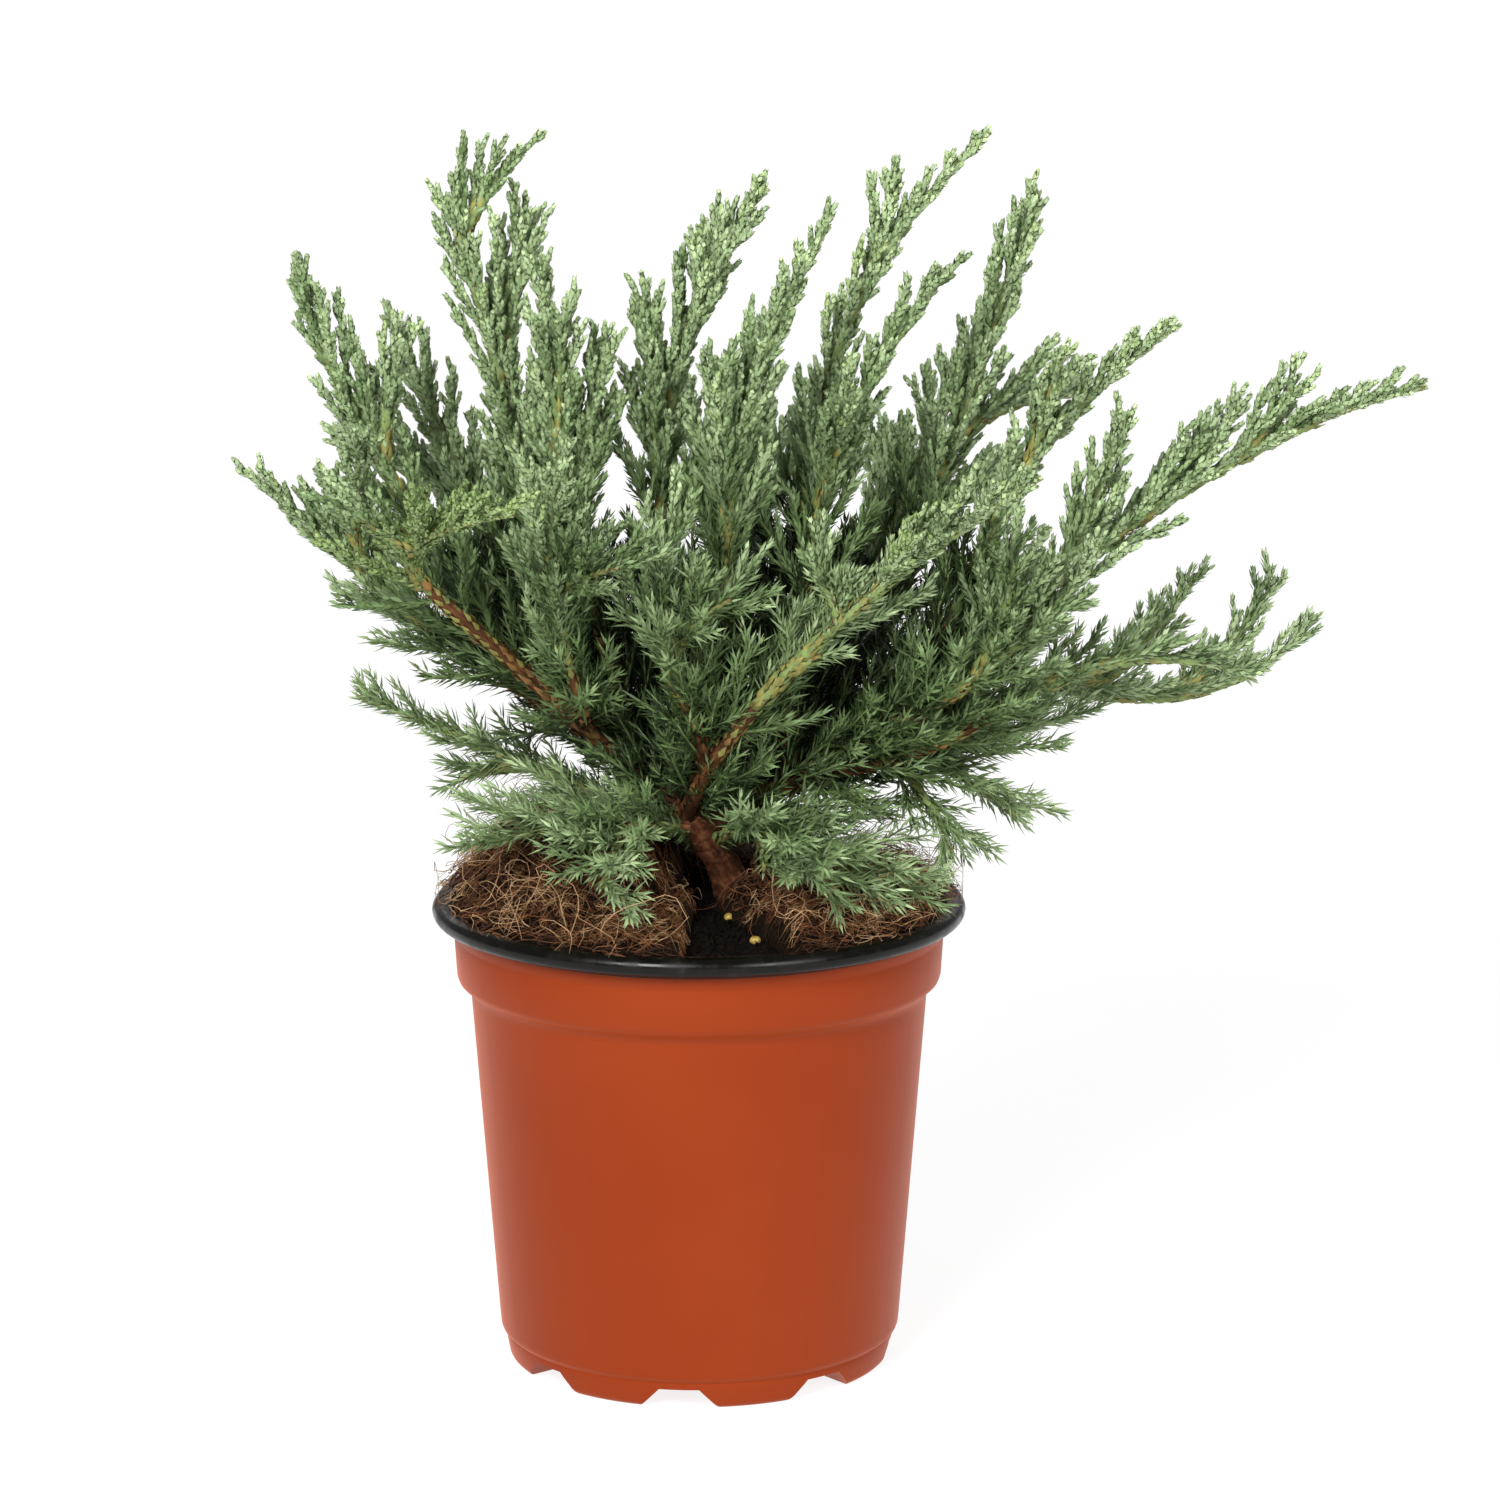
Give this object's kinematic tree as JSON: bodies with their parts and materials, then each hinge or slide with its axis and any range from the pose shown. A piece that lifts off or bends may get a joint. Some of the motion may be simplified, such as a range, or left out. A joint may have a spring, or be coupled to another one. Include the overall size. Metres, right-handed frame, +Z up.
{
  "type": "potted creeping juniper",
  "caption": "Creeping juniper: blue-green needled shoots fan up from a short woody trunk in a round terracotta-coloured nursery pot with a black rolled lip and a coconut fibre mat.",
  "frame": {"origin": "middle of the flat pad under the pot, at floor level", "axes": "+Z up; -Y is the front, the side shown in the picture; +X is to its right, where the longest shoots reach"},
  "size_m": [0.42, 0.281, 0.439],
  "materials": {
    "pot_shell": "thermoformed, terracotta outside, black inside and on the rolled lip",
    "soil": "damp peat, matt",
    "coir": "loose brown coconut fibres",
    "trunk_bark": "shredding red-brown bark",
    "bough_bark": "scaly orange-brown bark",
    "foliage": "blue-green needles, matt with a grey bloom"
  },
  "bodies": {
    "root": {"pot": "pot_shell", "potting_soil": "soil", "coir_mat_left": "coir", "coir_mat_right": "coir", "trunk": "trunk_bark", "bough_left_lead": "bough_bark", "bough_front": "bough_bark", "bough_right": "bough_bark", "bough_back": "bough_bark", "bough_left_back": "bough_bark", "bough_right_back": "bough_bark", "bough_left_low": "bough_bark", "bough_left_tall": "bough_bark", "bough_left_front": "bough_bark", "bough_tall_left": "bough_bark", "bough_back_left": "bough_bark", "bough_centre_left": "bough_bark", "bough_centre": "bough_bark", "bough_centre_lean": "bough_bark", "bough_centre_front": "bough_bark", "bough_right_tall": "bough_bark", "bough_right_lean": "bough_bark", "bough_right_upper": "bough_bark", "bough_back_right": "bough_bark", "bough_right_front": "bough_bark", "bough_right_low": "bough_bark", "bough_right_side": "bough_bark", "bough_low_right": "bough_bark", "foliage_left_lead": "foliage", "foliage_front": "foliage", "foliage_right_long": "foliage", "foliage_back": "foliage", "foliage_left_back": "foliage", "foliage_right_back": "foliage", "foliage_left_low": "foliage", "foliage_left_tall": "foliage", "foliage_left_front": "foliage", "foliage_tall_left": "foliage", "foliage_back_left": "foliage", "foliage_centre_left": "foliage", "foliage_centre": "foliage", "foliage_centre_lean": "foliage", "foliage_centre_front": "foliage", "foliage_right_tall": "foliage", "foliage_right_lean": "foliage", "foliage_right_upper": "foliage", "foliage_back_right": "foliage", "foliage_right_front": "foliage", "foliage_right_low": "foliage", "foliage_right_side": "foliage", "foliage_low_right": "foliage", "foliage_low_left": "foliage", "foliage_low_front_left": "foliage", "foliage_low_front": "foliage", "foliage_low_back": "foliage"}
  },
  "joints": []
}
